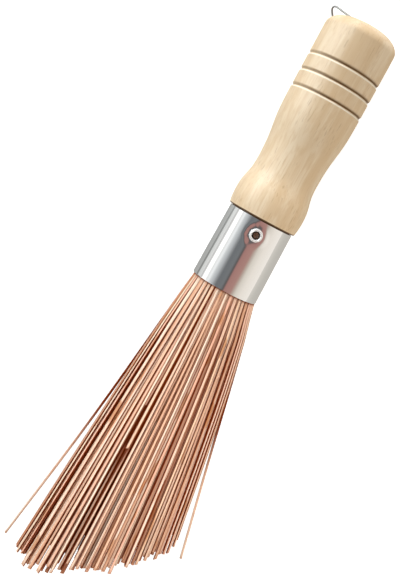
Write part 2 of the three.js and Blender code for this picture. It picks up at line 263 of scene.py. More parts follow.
# %% [markdown]
# ## What the steel mirrors
#
# Bright steel has hardly any colour of its own: it shows the room. In a studio, cards are set around the
# piece so that it mirrors clean stripes. Here one wide tube around the brush plays the part of all cards.
# Its colour depends on the angle around the brush, and only mirror rays can see it, so it neither lights
# the brush nor shows in the picture. A bright card further up gives the barely sealed wood its soft sheen.
# Grey cards on the table, called flags, darken the sleeve's edges, because a mirror between white table and
# white room would have no outline.

# %% Set up the cards around the brush
CARD_RADIUS = 0.8
CARD_LENGTH = 2.4
CARD_LIGHT = 1.5
# Degrees from straight above, positive to the right, with the red, green and blue there
CARDS = [
    (-180, 0.30, 0.30, 0.30),
    (-95, 0.50, 0.50, 0.49),
    (-86, 0.62, 0.62, 0.61),
    (-82, 1.30, 1.30, 1.29),
    (-70, 1.30, 1.30, 1.29),
    (-66, 0.78, 0.79, 0.79),
    (-58, 0.92, 0.94, 0.95),
    (-50, 0.60, 0.62, 0.63),
    (-42, 0.46, 0.48, 0.50),
    (-36, 0.30, 0.31, 0.32),
    (-29, 0.16, 0.17, 0.18),
    (-10, 0.18, 0.19, 0.20),
    (-2, 0.11, 0.10, 0.10),
    (3, 0.38, 0.20, 0.18),
    (25, 0.42, 0.24, 0.21),
    (33, 0.50, 0.42, 0.36),
    (42, 0.70, 0.65, 0.58),
    (60, 0.84, 0.78, 0.71),
    (92, 0.92, 0.87, 0.81),
    (104, 0.70, 0.66, 0.58),
    (180, 0.52, 0.50, 0.46),
]


def colour_ramp(value, stops):
    """Colours that follow a value from 0 to 1, with stops of a position and a colour."""
    ramp = add_node(value, "ValToRGB", {"Fac": value})
    elements = ramp.node.color_ramp.elements
    for position, *_ in stops[1:-1]:
        elements.new(position)
    for stop, (_, *colour) in zip(elements, stops):
        stop.color = (*colour, 1)
    return ramp


def mirror_only(card):
    """Lets only mirror rays see a card."""
    for rays in ("camera", "diffuse", "shadow", "transmission"):
        setattr(card, "visible_" + rays, False)


bpy.ops.mesh.primitive_cylinder_add(
    vertices=96,
    radius=CARD_RADIUS,
    depth=CARD_LENGTH,
    end_fill_type="NOTHING",
    location=shoulder,
    rotation=(0, math.pi / 2, 0),
)
cards = bpy.context.object
cards.name = "mirror_cards"
bpy.ops.object.transform_apply()

card_paint, shader = new_finish("mirror_cards", {})
place = add_node(shader, "TexCoord", {}, "Object")
from_brush = add_node(place, "VectorMath", {0: place, 1: shoulder}, operation="SUBTRACT")
parts = add_node(from_brush, "SeparateXYZ", {0: from_brush}).node.outputs
angle = maths("ARCTAN2", maths("MULTIPLY", parts["Y"], right.y), parts["Z"])
share = add_node(angle, "MapRange", {"Value": angle, "From Min": -math.pi, "From Max": math.pi})
stops = [
    ((degrees + 180) / 360, *(channel / CARD_LIGHT for channel in colour)) for degrees, *colour in CARDS
]
stripes = colour_ramp(share, stops)
card_lamp = add_node(stripes, "Emission", {"Color": stripes, "Strength": CARD_LIGHT})
feed(card_paint.node_tree.nodes["Material Output"], {"Surface": card_lamp})
cards.data.materials.append(card_paint)
mirror_only(cards)
print("stripes around the brush:", len(CARDS))

# %% Hang a bright card for the gloss of the wood
GLOSS_CARD_ANGLE = math.radians(-57)
GLOSS_CARD_DISTANCE = 0.7
GLOSS_CARD_UP_THE_HANDLE = 0.27
GLOSS_CARD_HEIGHT = 0.6
GLOSS_CARD_LENGTH = 0.3
GLOSS_CARD_LIGHT = 20
GLOSS_CARD_COLOUR = (0.88, 0.97, 1.0)
BLACK = (0, 0, 0, 1)


def glowing(name, colour, strength):
    """A material that only glows."""
    glow = {"Base Color": BLACK, "Emission Color": (*colour, 1), "Emission Strength": strength}
    return new_finish(name, glow)[0]


gloss_direction = front * math.cos(GLOSS_CARD_ANGLE) + right * math.sin(GLOSS_CARD_ANGLE)
gloss_side = along.cross(gloss_direction)
gloss_card = plane("gloss_card", 1)
gloss_card.scale = (GLOSS_CARD_LENGTH, GLOSS_CARD_HEIGHT, 1)
bpy.ops.object.transform_apply()
gloss_card.matrix_world = axes(along, -gloss_side, -gloss_direction)
gloss_card.location = shoulder + along * GLOSS_CARD_UP_THE_HANDLE + gloss_direction * GLOSS_CARD_DISTANCE
bpy.ops.object.transform_apply()
gloss_card.data.materials.append(glowing("gloss_card", GLOSS_CARD_COLOUR, GLOSS_CARD_LIGHT))
mirror_only(gloss_card)
print("gloss card faces the brush:", gloss_card.data.polygons[0].normal.dot(gloss_direction) < 0)

# %% Lay grey cards on the table beside the sleeve
FLAGS = [
    ("left_near_flag", -1, 0 * MM, 60 * MM, (0.36, 0.36, 0.35)),
    ("left_dark_flag", -1, 60 * MM, 92 * MM, (0.16, 0.16, 0.15)),
    ("left_far_flag", -1, 92 * MM, 800 * MM, (0.52, 0.52, 0.51)),
    ("right_flag", 1, 0 * MM, 800 * MM, (0.50, 0.48, 0.44)),
]
FLAG_LENGTH = 260 * MM
FLAG_LIFT = 0.1 * MM

for name, side, near, far, colour in FLAGS:
    flag = plane(name, 1)
    flag.scale = (FLAG_LENGTH, far - near, 1)
    flag.location = Vector((shoulder.x, shoulder.y, FLAG_LIFT)) + right * side * (near + far) / 2
    bpy.ops.object.transform_apply()
    flag.data.materials.append(glowing(name, colour, 1))
    mirror_only(flag)
print("flags beside the sleeve:", len(FLAGS))

# %% [markdown]
# ## The handle
#
# The handle is turned on a lathe, so its shape is one profile and an axis. Stacking cylinders would leave
# steps, and sculpting would lose the crisp grooves. So a single vertex is extruded from point to point
# along the profile, as a pencil would draw it, and the line is spun around the axis, as on the lathe. The
# tenon that goes into the steel sleeve is part of the profile.

# %% Helpers: a drawn line, a lathe and three curves
ROUND_STEPS = 128
SMALL_ROUND_STEPS = 64
WELD = 1e-6


def mode(name):
    """Goes to edit mode or to object mode."""
    bpy.ops.object.mode_set(mode=name)


def draw(name, points):
    """A line that starts as one vertex and is extruded from point to point, left selected in edit mode."""
    piece = plane(name, MM)
    mode("EDIT")
    bpy.ops.mesh.merge(type="CENTER")
    bpy.ops.transform.translate(value=points[0])
    for start, end in zip(points, points[1:]):
        bpy.ops.mesh.extrude_region_move(TRANSFORM_OT_translate={"value": end - start})
    bpy.ops.mesh.select_all(action="SELECT")
    return piece


def close_up():
    """Welds the piece that is in edit mode, turns its faces outwards and leaves edit mode."""
    bpy.ops.mesh.select_all(action="SELECT")
    bpy.ops.mesh.remove_doubles(threshold=WELD)
    bpy.ops.mesh.normals_make_consistent(inside=False)
    mode("OBJECT")


def turn(name, profile, steps):
    """A profile of radius and height, spun about the upright axis into a closed piece."""
    piece = draw(name, [Vector((radius, 0, height)) for radius, height in profile])
    bpy.ops.mesh.spin(steps=steps, angle=2 * math.pi, center=(0, 0, 0), axis=(0, 0, 1))
    close_up()
    return piece


def bow(start, pull_start, pull_end, end, count):
    """Points of a smooth curve between two points, without the first."""
    corners = [Vector((*corner, 0)) for corner in (start, pull_start, pull_end, end)]
    return [point.xy for point in interpolate_bezier(*corners, count + 1)][1:]


def round_corner(start, corner, end, count):
    """Points of a rounded corner between two points, without the first."""
    start, corner, end = Vector(start), Vector(corner), Vector(end)
    return bow(start, start.lerp(corner, 2 / 3), end.lerp(corner, 2 / 3), end, count)


def sweep(start, end, count):
    """Points of a curve that leaves and arrives along the axis, without the first."""
    half = (end[1] - start[1]) / 2
    return bow(start, (start[0], start[1] + half), (end[0], end[1] - half), end, count)


# %% Draw the profile and turn the handle
TENON_LENGTH = 14 * MM
TENON_RADIUS = 13.4 * MM
TENON_CHAMFER = 0.8 * MM
SHOULDER_RADIUS = 15.7 * MM
SHOULDER_EDGE = 0.8 * MM
BEAD_RADIUS = 16.2 * MM
BEAD_HEIGHT = 6.3 * MM
WAIST_RADIUS = 14.1 * MM
WAIST_HEIGHT = 22.5 * MM
HANDLE_RADIUS = 16.2 * MM
GRIP_HEIGHT = 52 * MM
GROOVE_HEIGHT = 55.8 * MM
GROOVE_PITCH = 7.35 * MM
GROOVE_COUNT = 3
GROOVE_WIDTH = 1.5 * MM
GROOVE_DEPTH = 0.8 * MM
GROOVE_LIP = 0.25 * MM
END_FLAT_RADIUS = 6.5 * MM
END_ROUNDING = 6.2 * MM
ROUNDNESS = 0.5523


def groove(middle):
    """Points of one turned groove with softened lips."""
    low = middle - GROOVE_WIDTH / 2
    high = middle + GROOVE_WIDTH / 2
    sunk = HANDLE_RADIUS - GROOVE_LIP
    low_lip = (HANDLE_RADIUS, low - GROOVE_LIP)
    high_lip = (HANDLE_RADIUS, high + GROOVE_LIP)
    bottom = (HANDLE_RADIUS - GROOVE_DEPTH, middle)
    points = [Vector((HANDLE_RADIUS, low - 2 * GROOVE_LIP)), Vector(low_lip)]
    points += round_corner(low_lip, (HANDLE_RADIUS, low), (sunk, low + GROOVE_LIP / 2), count=3)
    points += round_corner(points[-1], bottom, (sunk, high - GROOVE_LIP / 2), count=8)
    points += round_corner(points[-1], (HANDLE_RADIUS, high), high_lip, count=3)
    return points + [Vector((HANDLE_RADIUS, high + 2 * GROOVE_LIP))]


def handle_profile():
    """Radius and height along the handle, from the tenon's foot to the end."""
    edge = (SHOULDER_RADIUS, SHOULDER_EDGE)
    bead = (BEAD_RADIUS, BEAD_HEIGHT)
    waist = (WAIST_RADIUS, WAIST_HEIGHT)
    grip = (HANDLE_RADIUS, GRIP_HEIGHT)
    rim = (HANDLE_RADIUS, handle_length - END_ROUNDING)
    end = (END_FLAT_RADIUS, handle_length)
    rim_pull = (HANDLE_RADIUS, rim[1] + ROUNDNESS * END_ROUNDING)
    end_pull = (END_FLAT_RADIUS + ROUNDNESS * (HANDLE_RADIUS - END_FLAT_RADIUS), handle_length)
    points = [
        (0, -TENON_LENGTH),
        (TENON_RADIUS - TENON_CHAMFER, -TENON_LENGTH),
        (TENON_RADIUS, -TENON_LENGTH + TENON_CHAMFER),
        (TENON_RADIUS, 0),
        (SHOULDER_RADIUS - SHOULDER_EDGE, 0),
    ]
    points += round_corner(points[-1], (SHOULDER_RADIUS, 0), edge, count=6)
    points += round_corner(edge, (BEAD_RADIUS, (SHOULDER_EDGE + BEAD_HEIGHT) / 2), bead, count=8)
    points += sweep(bead, waist, count=20)
    points += sweep(waist, grip, count=24)
    for i in range(GROOVE_COUNT):
        points += groove(GROOVE_HEIGHT + i * GROOVE_PITCH)
    points.append(rim)
    points += bow(rim, rim_pull, end_pull, end, count=16)
    return points + [(END_FLAT_RADIUS / 2, handle_length), (0, handle_length)]


handle = turn("turned_handle", handle_profile(), ROUND_STEPS)
print("handle faces:", len(handle.data.polygons))

# %% [markdown]
# ### Two holes, and the grooves' charring and painted shade
#
# A drill makes the slanting hole that the wire ring swings in, and the hole for the rivet. A Boolean with a
# round bar does the same. The hinge in the frame gives the first hole's line, and the solid rivet the
# second's. Each groove is darkened at the bottom and on the wall towards the handle's end, partly as
# charring and partly as painted shade, which spreads a little beyond the groove and is weaker on the lit
# left side. The lip on its other side gets a painted highlight, pale as if lit from the handle's end. A
# painted shadow makes the edge above the sleeve as dark as the grooves. Two attributes keep this for the
# finish.

# %% Drill the handle
RING_HOLE_RADIUS = 0.9 * MM
RIVET_HOLE_RADIUS = 2.5 * MM
DRILL_LENGTH = 26 * MM
RIVET_DRILL_DEPTH = 12 * MM

hinge = frame["joints"][0]
hinge_place = to_bench @ Vector(hinge["pos_m"])
hinge_axis = (to_bench.to_3x3() @ Vector(hinge["axis"])).normalized()
rivet_corners = at_the_bench("rivet_sleeve")
rivet_middle = sum(rivet_corners, Vector()) / len(rivet_corners)
rivet_outward = Vector((rivet_middle.x, rivet_middle.y, 0)).normalized()
rivet_depth = -rivet_middle.z
rivet_turn = math.atan2(rivet_outward.x, -rivet_outward.y)


def make_active(piece):
    """Only this piece is selected, and it is the active one."""
    bpy.ops.object.select_all(action="DESELECT")
    piece.select_set(True)
    bpy.context.view_layer.objects.active = piece


def apply_modifier(piece, kind, **settings):
    """Adds a modifier with these settings to a piece and applies it."""
    modifier = piece.modifiers.new(kind, kind)
    for name, value in settings.items():
        setattr(modifier, name, value)
    make_active(piece)
    bpy.ops.object.modifier_apply(modifier=kind)


def drill(piece, radius, length, middle, direction):
    """A round hole through a piece."""
    bpy.ops.mesh.primitive_cylinder_add(
        vertices=SMALL_ROUND_STEPS // 2,
        radius=radius,
        depth=length,
        location=middle,
        rotation=direction.to_track_quat("Z", "Y").to_euler(),
    )
    bit = bpy.context.object
    apply_modifier(piece, "BOOLEAN", object=bit, operation="DIFFERENCE", solver="EXACT")
    bpy.data.objects.remove(bit)


drill(handle, RING_HOLE_RADIUS, DRILL_LENGTH, hinge_place, hinge_axis)
rivet_hole_middle = rivet_outward * TENON_RADIUS + Vector((0, 0, -rivet_depth))
drill(handle, RIVET_HOLE_RADIUS, 2 * RIVET_DRILL_DEPTH, rivet_hole_middle, rivet_outward)
print("rivet depth in mm:", in_mm([rivet_depth]), "turn in degrees:", round(math.degrees(rivet_turn), 1))

# %% Darken the grooves with charring and painted shade
# A painted shadow on the edge above the sleeve, a painted shade that spreads beyond each groove, and less
# darkening on the lit left side
SHOULDER_SHADOW = 0.45 * MM
SHADE_SPREAD = 0.5
SHADE_SPREAD_REACH = 1.3 * MM
LIT_LEFT_LIGHTER = 0.55
# Where each groove's lower lip gets a painted highlight
LIP_FROM = -1.05 * MM
LIP_TO = -0.5 * MM


def vertex_layers(piece, **kinds):
    """New attributes of the vertices, fetched after all are added, because adding one moves the others."""
    for name, kind in kinds.items():
        piece.data.attributes.new(name, kind, "POINT")
    return [piece.data.attributes[name].data for name in kinds]


# char: charring and painted shade in the grooves, and a painted shadow on the edge above the sleeve
chars, lips = vertex_layers(handle, char="FLOAT", lip="FLOAT")
for vertex, char, lip in zip(handle.data.vertices, chars, lips):
    sunk = (HANDLE_RADIUS - vertex.co.xy.length) / GROOVE_DEPTH
    from_groove = (vertex.co.z - GROOVE_HEIGHT + GROOVE_PITCH / 2) % GROOVE_PITCH - GROOVE_PITCH / 2
    if GRIP_HEIGHT < vertex.co.z < handle_length - END_ROUNDING:
        lit_left = LIT_LEFT_LIGHTER * max(-vertex.co.x / HANDLE_RADIUS, 0)
        spread_shade = SHADE_SPREAD * (1 - abs(from_groove) / SHADE_SPREAD_REACH)
        if from_groove > -GROOVE_LIP:
            char.value = max(min(sunk, 1), spread_shade, 0) * (1 - lit_left)
        # A painted highlight on the lip on the bristle side of each groove
        if LIP_FROM < from_groove < LIP_TO:
            lip.value = 1
    if vertex.co.z < SHOULDER_SHADOW:
        char.value = 1
print("charred vertices:", sum(char.value > 0 for char in chars))

# %% [markdown]
# ### The wood
#
# The handle is a pale, close-grained wood, barely sealed. An image of wood would slide over the turned
# shape, while noise in space is cut by it, as real grain is. So noise is stretched along the handle: wide
# soft bands, fine fibres, a mottle, and short dark flecks where pores are cut open.

# %% Wood finish
WOOD_PALE = (0.86, 0.70, 0.50, 1)
WOOD_TAN = (0.745, 0.545, 0.33, 1)
WOOD_FLECK = (0.47, 0.29, 0.14, 1)
# Brown for the grooves' charring and painted shade, and for the painted shadow above the sleeve
CHAR_AND_SHADE_BROWN = (0.11, 0.043, 0.007, 1)
# A painted highlight for the grooves' lips
LIP_HIGHLIGHT = (1.0, 0.93, 0.79, 1)
slope = math.atan2(-along.z, along.x)


def grain(place, lengthwise, crosswise, detail=3):
    """Noise with so many features per metre along and across the grain."""
    stretch = {"Vector": place, "Scale": (lengthwise, crosswise, crosswise)}
    stretched = add_node(place, "Mapping", stretch)
    return add_node(place, "TexNoise", {"Vector": stretched, "Scale": 1, "Detail": detail})


def between(value, low, high, strength=1):
    """A value that rises from 0 at low to its strength at high."""
    limits = {"Value": value, "From Min": low, "From Max": high, "To Max": strength}
    return add_node(value, "MapRange", limits, interpolation_type="SMOOTHSTEP")


def shade(base, colour, *rise):
    """One colour laid over another where a value rises between two limits."""
    return tint(base, colour, between(*rise))


def relief(height, distance, **under):
    """A bump from a height that runs from 0 to 1, on top of another one if that is given as Normal."""
    return add_node(height, "Bump", {"Height": height, "Distance": distance, **under})


def lying_coordinates(owner):
    """Object coordinates turned so that X runs along the brush, from its shoulder."""
    place = add_node(owner, "TexCoord", {}, "Object")
    moved = {"Vector": place, "Location": shoulder, "Rotation": (0, slope, 0)}
    return add_node(place, "Mapping", moved, vector_type="TEXTURE")


def attribute(owner, name, output="Fac"):
    """What an attribute of the mesh says."""
    return add_node(owner, "Attribute", {}, output, attribute_name=name)


wood, shader = new_finish("pale_turned_wood", {"Roughness": 0.48, "Specular IOR Level": 0.25})
place = lying_coordinates(shader)
bands = grain(place, 9, 150, detail=2)
fibres = grain(place, 45, 1500)
mottle = grain(place, 130, 420, detail=2)
flecks = between(grain(place, 230, 2000, detail=1), 0.58, 0.7, 0.38)
flecked_areas = between(grain(place, 40, 140, detail=1), 0.40, 0.62)
colour = shade(WOOD_PALE, WOOD_TAN, bands, 0.38, 0.66, 0.85)
colour = shade(colour, WOOD_TAN, fibres, 0.46, 0.74, 0.75)
colour = shade(colour, WOOD_TAN, mottle, 0.48, 0.68, 0.6)
colour = tint(colour, WOOD_FLECK, maths("MULTIPLY", flecks, flecked_areas))
# Painted highlight on the grooves' lips
colour = shade(colour, LIP_HIGHLIGHT, attribute(shader, "lip"), 0.1, 1, 0.85)
# Charring and painted shade in the grooves, and the painted shadow on the edge above the sleeve
colour = shade(colour, CHAR_AND_SHADE_BROWN, attribute(shader, "char"), 0, 0.7, 0.95)
feed(shader, {"Base Color": colour, "Normal": relief(fibres, 0.06 * MM)})
print("wood nodes:", len(wood.node_tree.nodes))


# %% Lay the handle down
def lay_down(piece, finish, node, place=bench, smooth=40, body="brush"):
    """Puts a piece from the bench in its place on the brush, gives it its finish and body, and hides the solid it
    stands for.
    """
    piece.matrix_world = place
    make_active(piece)
    bpy.ops.object.transform_apply()
    bpy.ops.object.shade_smooth_by_angle(angle=math.radians(smooth))
    piece.data.materials.clear()
    piece.data.materials.append(finish)
    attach(piece, body)
    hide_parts(node)


lay_down(handle, wood, "handle")
print("handle box in mm:", in_mm(handle.dimensions))

# %% [markdown]
# ## The steel sleeve
#
# The sleeve is rolled from a strip of thin steel whose ends lap at the back. A plain cylinder would have no
# seam. So one edge line of the strip is drawn, spun almost all the way round, joggled outwards by the
# thickness of the sheet, and spun on over its own start. The rivet has pressed a round seat into the front,
# a little askew, made by scaling that spot flatter and turning it with a soft falloff. Solidify then gives
# the sheet its thickness.

# %% Roll the strip
SHEET = 0.5 * MM
SLEEVE_TOP_RADIUS = 14.7 * MM
SLEEVE_MOUTH_RADIUS = 15.2 * MM
SLEEVE_ROWS = 60
SLEEVE_STEPS = 160
LAP_WIDTH = 6 * MM
LAP_STEP_WIDTH = 2.5 * MM
LAP_GAP = 0.15 * MM
LAP_STEPS = 10
JOGGLE_STEPS = 4

lap_angle = LAP_WIDTH / SLEEVE_MOUTH_RADIUS
step_angle = LAP_STEP_WIDTH / SLEEVE_MOUTH_RADIUS
start_angle = -math.pi - lap_angle / 2


def sleeve_radius(share):
    """The sleeve's radius at a share of its length from the top."""
    return SLEEVE_TOP_RADIUS + (SLEEVE_MOUTH_RADIUS - SLEEVE_TOP_RADIUS) * share


def ray(angle):
    """The direction out of the axis at an angle from the front."""
    return Vector((math.sin(angle), -math.cos(angle), 0))


strip_edge = []
for i in range(SLEEVE_ROWS + 1):
    share = i / SLEEVE_ROWS
    depth = FIT + (ferrule_length - FIT) * share
    strip_edge.append(ray(start_angle) * sleeve_radius(share) + Vector((0, 0, -depth)))

sleeve = draw("rolled_sleeve", strip_edge)
bpy.ops.mesh.spin(steps=SLEEVE_STEPS, angle=2 * math.pi - step_angle, center=(0, 0, 0), axis=(0, 0, -1))
joggle_angle = start_angle - step_angle
for i in range(JOGGLE_STEPS):
    outward = ray(joggle_angle)
    ahead = Vector((-outward.y, outward.x, 0))
    rise = math.sin(math.pi * (i + 0.5) / JOGGLE_STEPS) * math.pi / 2
    step = ahead * LAP_STEP_WIDTH / JOGGLE_STEPS + outward * (SHEET + LAP_GAP) / JOGGLE_STEPS * rise
    bpy.ops.mesh.extrude_region_move(TRANSFORM_OT_translate={"value": step})
    joggle_angle += step_angle / JOGGLE_STEPS
bpy.ops.mesh.spin(steps=LAP_STEPS, angle=lap_angle, center=(0, 0, 0), axis=(0, 0, -1))
mode("OBJECT")
print("strip faces:", len(sleeve.data.polygons))

# %% Press the rivet's seat, thicken the sheet and drill it
SEAT_SINK = 0.6 * MM
SEAT_RADIUS = 3.3 * MM
SEAT_BLEND = 2.9 * MM
SEAT_CROWN = 0.35
SEAT_LEAN = math.radians(7)
SHEET_EDGE = 0.22 * MM
SHARP = math.radians(60)

seat = Vector((0, SEAT_SINK - sleeve_radius(rivet_depth / ferrule_length), -rivet_depth))


def select_where(piece, kind, wanted):
    """Selects the vertices or edges that a test picks, and goes to edit mode."""
    make_active(piece)
    mode("EDIT")
    bpy.ops.mesh.select_mode(type=kind)
    bpy.ops.mesh.select_all(action="DESELECT")
    mode("OBJECT")
    for part in piece.data.vertices if kind == "VERT" else piece.data.edges:
        part.select = wanted(part)
    mode("EDIT")


def under_the_rivet(vertex):
    """Whether a vertex of the sheet lies under the rivet's flange and its pressed seat."""
    return vertex.co.y < 0 and math.hypot(vertex.co.x - seat.x, vertex.co.z - seat.z) < SEAT_RADIUS


select_where(sleeve, "VERT", under_the_rivet)
soft_falloff = {
    "center_override": seat,
    "use_proportional_edit": True,
    "proportional_edit_falloff": "SMOOTH",
    "proportional_size": SEAT_BLEND,
}
bpy.ops.transform.resize(value=(1, SEAT_CROWN, 1), **soft_falloff)
bpy.ops.transform.rotate(value=SEAT_LEAN, orient_axis="Z", **soft_falloff)
close_up()
apply_modifier(sleeve, "SOLIDIFY", thickness=SHEET, offset=-1)
apply_modifier(sleeve, "BEVEL", width=SHEET_EDGE, segments=2, limit_method="ANGLE", angle_limit=SHARP)
drill(sleeve, RIVET_HOLE_RADIUS, DRILL_LENGTH / 2, seat, Vector((0, -1, 0)))
print("sleeve faces:", len(sleeve.data.polygons))

# %% [markdown]
# ### Bright steel
#
# Polished sheet is smooth but never perfect: rolling leaves it faintly wavy, wiping leaves fine hairlines
# round it, and handling leaves spots where it is duller. Low roughness gives the mirror, a very shallow
# bump the waves, and noise stretched around the sleeve the hairlines.

# %% Steel finish
STEEL_COLOUR = (0.93, 0.93, 0.92, 1)

mirror = {"Base Color": STEEL_COLOUR, "Metallic": 1, "Roughness": 0.08}
steel, shader = new_finish("bright_rolled_steel", mirror)
place = lying_coordinates(shader)
wiped = grain(place, 70, 120)
wiping = {"Value": wiped, "From Min": 0.35, "From Max": 0.7, "To Min": 0.05, "To Max": 0.12}
dullness = add_node(wiped, "MapRange", wiping)
waves = relief(grain(place, 26, 60, detail=1), 0.25 * MM)
hairlines = relief(grain(place, 5200, 160, detail=2), 0.004 * MM, Normal=waves)
feed(shader, {"Roughness": dullness, "Normal": hairlines})

sleeve_place = bench @ Matrix.Rotation(rivet_turn, 4, "Z")
lay_down(sleeve, steel, "ferrule", sleeve_place, smooth=20)
print("sleeve box in mm:", in_mm(sleeve.dimensions))

# %% [markdown]
# ## The blind rivet
#
# One blind rivet holds sleeve and handle together. Its flanged tube shows as a bright ring, and the broken
# stem inside it as a dark spot. Both are round, so they are turned like the handle, on an axis that points
# out of the sleeve, and placed on the pressed seat.

# %% Turn the rivet's tube and its stem
RIVET_LENGTH = 9 * MM
RIVET_BODY_RADIUS = 2.2 * MM
RIVET_BORE_RADIUS = 1.75 * MM
FLANGE_RADIUS = 2.9 * MM
FLANGE_HEIGHT = 0.9 * MM
STEM_RECESS = 1.1 * MM
STEM_HEAD_HEIGHT = 2.2 * MM

flange_top = FIT + FLANGE_HEIGHT
flange_edge = (FLANGE_RADIUS, FIT)
flange_crown = (RIVET_BODY_RADIUS, flange_top)
bore_foot = (RIVET_BORE_RADIUS, -RIVET_LENGTH)
bore_mouth = (RIVET_BORE_RADIUS, FIT)
tube_profile = [bore_foot, (RIVET_BODY_RADIUS, -RIVET_LENGTH), (RIVET_BODY_RADIUS, FIT), flange_edge]
tube_profile += round_corner(flange_edge, (FLANGE_RADIUS, flange_top), flange_crown, count=10)
tube_profile += round_corner(flange_crown, (RIVET_BORE_RADIUS, flange_top), bore_mouth, count=10)
rivet_tube = turn("rivet_tube", tube_profile + [bore_foot], SMALL_ROUND_STEPS)

stem_radius = RIVET_BORE_RADIUS - FIT
stem_top = flange_top - STEM_RECESS
stem_head = -RIVET_LENGTH - FIT
stem_foot = stem_head - STEM_HEAD_HEIGHT
stem_profile = [(0, stem_foot)]
stem_profile += round_corner(
    stem_profile[0], (RIVET_BODY_RADIUS, stem_foot), (RIVET_BODY_RADIUS, stem_head), count=8
)
stem_profile += [(stem_radius, stem_head), (stem_radius, stem_top - stem_radius / 2)]
stem_profile += round_corner(stem_profile[-1], (stem_radius, stem_top), (stem_radius / 2, stem_top), count=6)
stem_profile += [(stem_radius / 4, stem_top - stem_radius / 6), (0, stem_top - stem_radius / 5)]
rivet_stem = turn("rivet_stem", stem_profile, SMALL_ROUND_STEPS // 2)
print("rivet faces:", len(rivet_tube.data.polygons), len(rivet_stem.data.polygons))

# %% Finish and place the rivet
STEM_COLOUR = (0.085, 0.055, 0.042, 1)
RUST_COLOUR = (0.17, 0.085, 0.045, 1)

satin = {"Base Color": STEEL_COLOUR, "Metallic": 0.4, "Roughness": 0.32}
rivet_steel, shader = new_finish("pressed_rivet_steel", satin)
pressed = grain(lying_coordinates(shader), 900, 900)
feed(shader, {"Normal": relief(pressed, 0.02 * MM)})

stem_steel, shader = new_finish("broken_stem_steel", {"Metallic": 0.6, "Roughness": 0.5})
torn = grain(lying_coordinates(shader), 1500, 1500, detail=4)
rusty = shade(STEM_COLOUR, RUST_COLOUR, torn, 0.4, 0.65)
feed(shader, {"Base Color": rusty, "Normal": relief(torn, 0.15 * MM)})

rivet_place = sleeve_place @ Matrix.Translation(seat) @ Matrix.Rotation(math.pi / 2, 4, "X")
lay_down(rivet_tube, rivet_steel, "rivet_sleeve", rivet_place, smooth=50)
lay_down(rivet_stem, stem_steel, "rivet_mandrel", rivet_place)

# %% [markdown]
# ## The wire ring
#
# The brush hangs by a loop of thin wire that swings in the slanting hole. A wire worker bends a straight
# wire around pins. Here the straight legs are drawn as a line, a vertex bevel rounds its corners, and the
# bevel depth of a curve makes it a round wire. The two ends meet inside the hole, as on the real one.

# %% Bend the ring
WIRE_RADIUS = 0.43 * MM
RING_OVERHANG = 2.1 * MM
RING_HEIGHT = 15.4 * MM
RING_BASE_BEND = 2.2 * MM
RING_TIP_BEND = 4.4 * MM
RING_END_GAP = 0.8 * MM
HOLE_LENGTH = 9.9 * MM
BEND_STEPS = 10
WIRE_SMOOTHNESS = 4


def off_the_hinge(place):
    """The part of a place's distance from the hinge that lies across its axis."""
    arm = place - hinge_place
    return arm - hinge_axis * arm.dot(hinge_axis)


arms = [off_the_hinge(place) for place in at_the_bench("hanging_ring")]
ring_outward = max(arms, key=lambda arm: arm.length).normalized()
corner = HOLE_LENGTH / 2 + RING_OVERHANG
legs = [(RING_END_GAP / 2, 0), (corner, 0), (0, RING_HEIGHT), (-corner, 0), (-RING_END_GAP / 2, 0)]
ring = draw("wire_ring", [Vector((across, out, 0)) for across, out in legs])
mode("OBJECT")
bends = [
    (RING_BASE_BEND, lambda vertex: abs(vertex.co.x) > corner / 2),
    (RING_TIP_BEND, lambda vertex: vertex.co.y > RING_HEIGHT / 2),
]
for bend, wanted in bends:
    select_where(ring, "VERT", wanted)
    bpy.ops.mesh.bevel(offset=bend, offset_type="OFFSET", segments=BEND_STEPS, affect="VERTICES")
    mode("OBJECT")
make_active(ring)
bpy.ops.object.convert(target="CURVE")
ring.data.bevel_depth = WIRE_RADIUS
ring.data.bevel_resolution = WIRE_SMOOTHNESS
ring.data.use_fill_caps = True
bpy.ops.object.convert(target="MESH")
ring = bpy.context.object
mode("EDIT")
close_up()

dull = {"Base Color": (0.24, 0.23, 0.22, 1), "Metallic": 0.3, "Roughness": 0.4}
wire, shader = new_finish("drawn_wire", dull)
drawn = grain(lying_coordinates(shader), 800, 800, detail=2)
feed(shader, {"Normal": relief(drawn, 0.03 * MM)})

ring_turn = axes(hinge_axis, ring_outward, hinge_axis.cross(ring_outward))
ring_place = bench @ Matrix.Translation(hinge_place) @ ring_turn
lay_down(ring, wire, "hanging_ring", ring_place, body="ring")
print("ring faces:", len(ring.data.polygons))

# %% [markdown]
# ## The bamboo
#
# The splints are split by hand, so no two are alike: pink, orange, straw and brown ones lie side by side,
# some narrow, some broad. A particle system could scatter them, but each splint here has its own place in
# the sleeve. So one straight stick is modelled, with softened edges and enough cross cuts to bend. Every
# splint is a copy of it, scaled to its own width and bent along its own line by a Curve modifier. Before it
# bends, each vertex notes its place on the straight stick, so that the grain follows the bend.

# %% Model one straight stick
STICK_EDGE = 0.3


def straight_stick(name, cuts, edge_steps):
    """A stick of unit size along X, with softened long edges and cross cuts."""
    bpy.ops.mesh.primitive_cube_add(size=1, location=(0.5, 0, 0))
    stick = bpy.context.object
    stick.name = name
    bpy.ops.object.transform_apply()

    def runs_along(edge):
        """Whether an edge runs along the stick."""
        start, end = (stick.data.vertices[i].co for i in edge.vertices)
        return abs(start.x - end.x) > 0.5

    select_where(stick, "EDGE", runs_along)
    bpy.ops.mesh.bevel(offset=STICK_EDGE, segments=edge_steps, affect="EDGES")
    mode("OBJECT")
    select_where(stick, "EDGE", runs_along)
    bpy.ops.mesh.subdivide(number_cuts=cuts)
    mode("OBJECT")
    return stick


